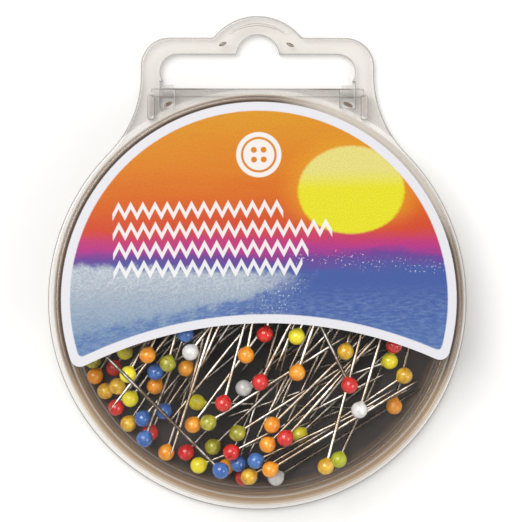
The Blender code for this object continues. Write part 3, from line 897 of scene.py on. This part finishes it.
lid_plastic, lid_shader, start = new_finish("clear_lid_polystyrene", Roughness=0.06, IOR=1.59)
spot = start.add("ShaderNodeTexCoord")
x, y, _ = spot.part("Object").axes()
_, _, nz = spot.part("Normal").axes()
radius = start.math("SQRT", x * x + y * y) * 1000.0
round_skirt = {0: x / radius * 900.0, 1: y / radius * 900.0, 2: radius * 0.15}
streaks = grain(start, start.add("ShaderNodeCombineXYZ", values=round_skirt), 1.7, 4.0, 0.6)
steep = 1.0 - start.math("ABSOLUTE", nz)
wobble = radius + (streaks - 0.5) * 0.3
skirt = radius.ramp(32.3, 32.7) * radius.ramp(33.95, 34.05, 1.0, 0.0)

# Painted refraction: the rings that light bends in the skirt, from its inside out: gold round the foot of the
# box, and darker round its top.
share = (wobble - 32.4) / 1.55
low_side = share.colours([
    (0.0, (0.21, 0.130, 0.070)),
    (0.25, (0.31, 0.205, 0.120)),
    (0.40, (0.26, 0.170, 0.095)),
    (0.55, (0.42, 0.300, 0.190)),
    (0.72, (0.46, 0.350, 0.235)),
    (0.82, (0.80, 0.730, 0.620)),
    (0.92, (0.55, 0.460, 0.350)),
    (1.0, (0.80, 0.750, 0.670)),
])
high_side = share.colours([
    (0.0, (0.060, 0.040, 0.028)),
    (0.22, (0.040, 0.024, 0.017)),
    (0.36, (0.15, 0.095, 0.062)),
    (0.48, (0.25, 0.165, 0.110)),
    (0.58, (0.09, 0.054, 0.034)),
    (0.70, (0.20, 0.135, 0.092)),
    (0.82, (0.40, 0.310, 0.240)),
    (0.92, (0.74, 0.680, 0.600)),
    (1.0, (0.62, 0.55, 0.48)),
])
# Painted light: towards the upper right the painted rings pale.
facing = (x * PALE_WAY[0] + y * PALE_WAY[1]) / radius
high_side = (facing.ramp(0.80, 0.96) * 0.72).between(high_side, (0.66, 0.60, 0.53))
painted_skirt_rings = (y * 1000.0).ramp(-17.0, -9.0).between(low_side, high_side)

# The face and the skirt's outside are clear, with a faint haze. Their steep faces are painted darker, as
# painted shade.
haze = grain(start, spot.part("Object"), 70.0, 2.0)
elsewhere = steep.ramp(0.05, 0.4).between((0.86, 0.84, 0.81), (0.52, 0.46, 0.40))

# The gate mark on each hook's arm, painted as a dark oval of shade, turned towards the middle.
hook_x = start.math("ABSOLUTE", x) * 1000.0 - HOOK_X / MM
hook_y = y * 1000.0 - GATE_Y
along_gate = hook_x * math.cos(GATE_TURN) - hook_y * math.sin(GATE_TURN)
over_gate = hook_x * math.sin(GATE_TURN) + hook_y * math.cos(GATE_TURN)
gate_shade = start.math("SQRT", (along_gate / 1.05) ** 2.0 + (over_gate / 0.36) ** 2.0).ramp(0.75, 1.0, 1.0, 0.0)
gate_shade = gate_shade * nz.ramp(0.5, 0.8) * radius.ramp(34.0, 34.1)
elsewhere = gate_shade.between(elsewhere, (0.16, 0.11, 0.075))
start.feed(lid_shader.inputs["Base Color"], skirt.between(elsewhere, painted_skirt_rings))
hooks = start.math("MAXIMUM", radius.ramp(34.0, 34.1) * steep.ramp(0.0, 0.6, 0.05, 0.24), gate_shade * 0.8)
face = haze.ramp(0.3, 0.7, 0.004, 0.012)
over_skirt = skirt * (0.13 + 0.64 * nz.ramp(0.15, 0.5))
start.feed(lid_shader.inputs["Alpha"], start.math("MAXIMUM", start.math("MAXIMUM", face, hooks), over_skirt))


def hook_loop():
    """A hook from the side, about the bar: an arm over the skirt's edge, and a ring open at the back."""
    arm_turn = math.degrees(math.asin((ARM_LOW - HINGE[2] / MM) / HOOK_OUT))
    return np.vstack([
        arc(0.0, 0.0, HOOK_OUT, MOUTH, 90, 9),
        [(-ARM, HOOK_OUT), (-ARM, ARM_LOW - HINGE[2] / MM)],
        arc(0.0, 0.0, HOOK_OUT, 180 - arm_turn, 360 - MOUTH, 18),
        arc(0.0, 0.0, HOOK_IN, 360 - MOUTH, MOUTH, 24),
    ]) * MM


def level_with(height):
    """A test for points within the level band of a height."""
    return lambda at: abs(at.z - height) < LEVEL_BAND


cap_profile = [
    (SKIRT_IN, LID_TOP - LID_FACE),
    (SKIRT_IN, SKIRT_LOW),
    (SKIRT_OUT, SKIRT_LOW),
    (SKIRT_OUT, LID_TOP - LID_ROUND - LEVEL_BAND),
    *rounded_corner(SKIRT_OUT, LID_TOP, LID_ROUND, TOP_STEPS),
    (SKIRT_OUT - LID_ROUND - LEVEL_BAND, LID_TOP),
]
cap = turned(cap_profile, CIRCLE_SIDES), ring_faces(len(cap_profile), CIRCLE_SIDES)
caps = [filled(*cap, [level_with(LID_TOP), level_with(LID_TOP - LID_FACE)])]
for side in (-1, 1):
    near, far = sorted((side * (HOOK_X - HOOK_WIDE / 2), side * (HOOK_X + HOOK_WIDE / 2)))
    edge = rounded_edge(hook_loop(), near, far, HOOK_ROUND)
    points, faces = filled(*edge, [level_with(near), level_with(far)])
    out, up, along = points.T
    # The arm ends inside the skirt, along its middle circle.
    out = np.where(out < -HOOK_OUT * MM - 2 * HOOK_ROUND, np.sqrt(SKIRT_MIDDLE**2 - along**2) - HINGE[1], out)
    caps.append((np.stack([along, out + HINGE[1], up + HINGE[2]], axis=1), faces))

lid = surface("clear_lid", *gathered(caps), lid_plastic)
lid.data.set_sharp_from_angle(angle=CREASE)
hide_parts("case_lid")
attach(lid, "lid")

# ---- Label ----
# Glossy printed paper stuck on the front: a low sun over the sea in a white margin, with plain rows of
# zigzag stitches and a button.

# All in millimetres, on the face of the lid.
LABEL_RADIUS = 32.5
BOW_RADIUS = 68.0
BOW_CENTRE = -71.9
MARGIN = 1.45
LABEL_TURN = math.radians(1.1)
SUN = (15.5, 17.6)
SUN_SIZE = (8.8, 7.4)
BUTTON = (0.4, 23.8)
BUTTON_GROOVE = 2.75
HOLE_OFFSET = 0.8
STITCH_LEFT = -23.8
STITCH_TALL = 1.9
STITCH_PITCH = 1.0
THREAD = 0.55
STITCH_ROWS = ((4.2, 14.9), (12.2, 11.6), (8.2, 8.4), (7.2, 5.3))

label, label_shader, start = new_finish("printed_paper", Roughness=0.32, Specular_IOR_Level=0.25)
spot = start.add("ShaderNodeTexCoord")
across, up, _ = spot.part("Object").axes()
_, _, nz = spot.part("Normal").axes()
x = (across * math.cos(LABEL_TURN) + up * math.sin(LABEL_TURN)) * 1000.0
y = (up * math.cos(LABEL_TURN) - across * math.sin(LABEL_TURN)) * 1000.0
flat = start.add("ShaderNodeCombineXYZ", values={0: x, 1: y, 2: 0.0})
long_ways = start.add("ShaderNodeCombineXYZ", values={0: x * 0.25, 1: y, 2: 0.0})

cloud = grain(start, long_ways, 0.22, 5.0, 0.6)
fine = grain(start, flat, 1.6, 4.0, 0.65)
height = y + (cloud - 0.5) * 6.0 + (fine - 0.5) * 1.8 + x * 0.01
sky = ((height + 12.0) / 46.0).colours([
    (0.00, (0.085, 0.17, 0.41)),
    (0.22, (0.050, 0.105, 0.34)),
    (0.36, (0.055, 0.100, 0.34)),
    (0.405, (0.14, 0.050, 0.29)),
    (0.44, (0.42, 0.032, 0.23)),
    (0.475, (0.52, 0.038, 0.14)),
    (0.52, (0.60, 0.060, 0.020)),
    (0.60, (0.63, 0.110, 0.006)),
    (0.72, (0.66, 0.190, 0.004)),
    (1.00, (0.67, 0.310, 0.008)),
])
streaky = grain(start, long_ways, 0.9, 5.0, 0.7)
sky = (streaky.ramp(0.55, 0.8) * y.ramp(8.0, 14.0) * 0.35).between(sky, (0.46, 0.09, 0.012))

# The sun: a yellow disc, paler at the top, with its rim softened by haze.
sun_x, sun_y = (x - SUN[0]) / SUN_SIZE[0], (y - SUN[1]) / SUN_SIZE[1]
sun_off = start.math("SQRT", sun_x**2.0 + sun_y**2.0)
sun_body = (y + (fine - 0.5) * 1.2).ramp(SUN[1], SUN[1] + 4.0)
sun_colour = sun_body.between((0.73, 0.69, 0.012), (0.72, 0.65, 0.19))
glow = sun_off.ramp(0.95, 1.45, 0.5, 0.0) * y.ramp(10.0, 15.0)
sky = glow.between(sky, (0.74, 0.33, 0.008))
soft_rim = sun_off + (fine - 0.5) * 0.05 + y.ramp(9.5, 13.0, 0.05, 0.0)
sky = soft_rim.ramp(0.955, 1.035, 1.0, 0.0).between(sky, sun_colour)

# The sea: a breaking wave of pale foam at the left, streaks in its face, and sparkle along the far water.
foam_noise = grain(start, flat, 0.32, 6.0, 0.68, 0.6)
spray = grain(start, flat, 2.4, 5.0, 0.75)
below_crest = (y - 4.7 + x * 0.05 + (foam_noise - 0.5) * 4.0).ramp(-0.9, 0.5, 1.0, 0.0)
above_face = y - 0.3 - x * 0.29 + (foam_noise - 0.5) * 9.0
left_part = (x + (foam_noise - 0.5) * 20.0).ramp(-2.0, 9.0, 1.0, 0.0)
lean = start.add("ShaderNodeCombineXYZ", values={0: x * 0.4 + y * 0.2, 1: y * 1.2 - x * 0.5, 2: 0.0})
streak = grain(start, lean, 1.1, 5.0, 0.72, 0.5)
thick_foam = above_face.ramp(-2.0, 1.6)
torn_foam = streak.ramp(0.47, 0.66) * above_face.ramp(-9.0, -1.0, 0.25, 0.85)
foam = below_crest * left_part * start.math("MAXIMUM", thick_foam, torn_foam)
shade = spray * 0.5 + y.ramp(-8.0, 5.0) * 0.3 + streak * 0.25
foam_colour = shade.colours([
    (0.30, (0.10, 0.20, 0.38)),
    (0.46, (0.24, 0.33, 0.44)),
    (0.62, (0.37, 0.43, 0.51)),
    (0.78, (0.60, 0.64, 0.69)),
])
sea = foam.between(sky, foam_colour)
under_wave = start.math("ABSOLUTE", y + 0.2 - x * 0.2 + (foam_noise - 0.5) * 4.0).ramp(0.4, 1.9, 1.0, 0.0)
sea = (under_wave * streak.ramp(0.38, 0.56) * left_part * 0.75).between(sea, (0.045, 0.125, 0.37))
dots = grain(start, flat, 2.3, 3.0, 0.6).ramp(0.60, 0.66)
far_water = start.math("ABSOLUTE", y - 7.3 + x * 0.075 + (foam_noise - 0.5) * 5.0).ramp(0.4, 1.5, 1.0, 0.0)
sea = (dots * far_water * x.ramp(4.0, 8.0) * 0.85).between(sea, (0.70, 0.69, 0.75))
near_dots = grain(start, flat, 2.6, 3.0, 0.6).ramp(0.58, 0.68)
edge_spray = start.math("ABSOLUTE", x - 3.0 - y * 0.4).ramp(1.0, 6.0, 1.0, 0.0) * y.ramp(3.0, 4.5, 1.0, 0.0)
sea = (near_dots * edge_spray * 0.85).between(sea, (0.64, 0.69, 0.74))
ripple = grain(start, long_ways, 2.6, 4.0, 0.7).ramp(0.35, 0.75)
sea = (ripple * y.ramp(-2.0, 3.0, 1.0, 0.0) * 0.42).between(sea, (0.26, 0.38, 0.60))


def zigzag(right, middle):
    """White where a point is within half a thread of a zigzag between two heights."""
    wave = start.math("PINGPONG", x - STITCH_LEFT, STITCH_PITCH) / STITCH_PITCH * STITCH_TALL
    off = start.math("ABSOLUTE", y - middle - (wave - STITCH_TALL / 2))
    off = off / math.hypot(1.0, STITCH_TALL / STITCH_PITCH)
    started = x.ramp(STITCH_LEFT - 0.1, STITCH_LEFT + 0.05)
    ended = x.ramp(right - 0.05, right + 0.1, 1.0, 0.0)
    return off.ramp(THREAD / 2 - 0.06, THREAD / 2 + 0.06, 1.0, 0.0) * (started * ended)


# A four-hole button: a disc with a groove inside its rim and four holes.
from_button = start.math("SQRT", (x - BUTTON[0]) ** 2.0 + (y - BUTTON[1]) ** 2.0)
button = from_button.ramp(3.65, 3.8, 1.0, 0.0)
groove = start.math("ABSOLUTE", from_button - BUTTON_GROOVE).ramp(0.12, 0.26)
hole_x = start.math("ABSOLUTE", x - BUTTON[0]) - HOLE_OFFSET
hole_y = start.math("ABSOLUTE", y - BUTTON[1]) - HOLE_OFFSET
holes = start.math("SQRT", hole_x * hole_x + hole_y * hole_y).ramp(0.42, 0.56)
white = button * groove * holes
for right, middle in STITCH_ROWS:
    white = start.math("MAXIMUM", white, zigzag(right, middle))
dither = grain(start, flat, 4.5, 2.0, 0.8).ramp(0.3, 0.7, 0.0, 0.22)
picture = (white * 0.9).between(dither.between(sea, (0.02, 0.015, 0.02)), (0.76, 0.76, 0.76))

from_rim = LABEL_RADIUS - MARGIN - start.math("SQRT", x * x + y * y)
from_bow = start.math("SQRT", x * x + (y - BOW_CENTRE) ** 2.0) - (BOW_RADIUS + MARGIN)
nearest = start.add("ShaderNodeMath", {"operation": "SMOOTH_MIN"}, {0: from_rim, 1: from_bow, 2: 1.6})
printed = (nearest + (fine - 0.5) * 0.12).ramp(-0.12, 0.12) * nz.ramp(0.4, 0.6)
fibres = grain(start, spot.part("Object"), 2600.0, 3.0)
border = fibres.between((0.63, 0.63, 0.67), (0.70, 0.70, 0.74))
start.feed(label_shader.inputs["Base Color"], printed.between(border, picture))
start.feed(label_shader.inputs["Normal"], raised(start, fibres, 0.12, 0.00004))
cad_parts["front_label"].data.materials.clear()
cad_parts["front_label"].data.materials.append(label)
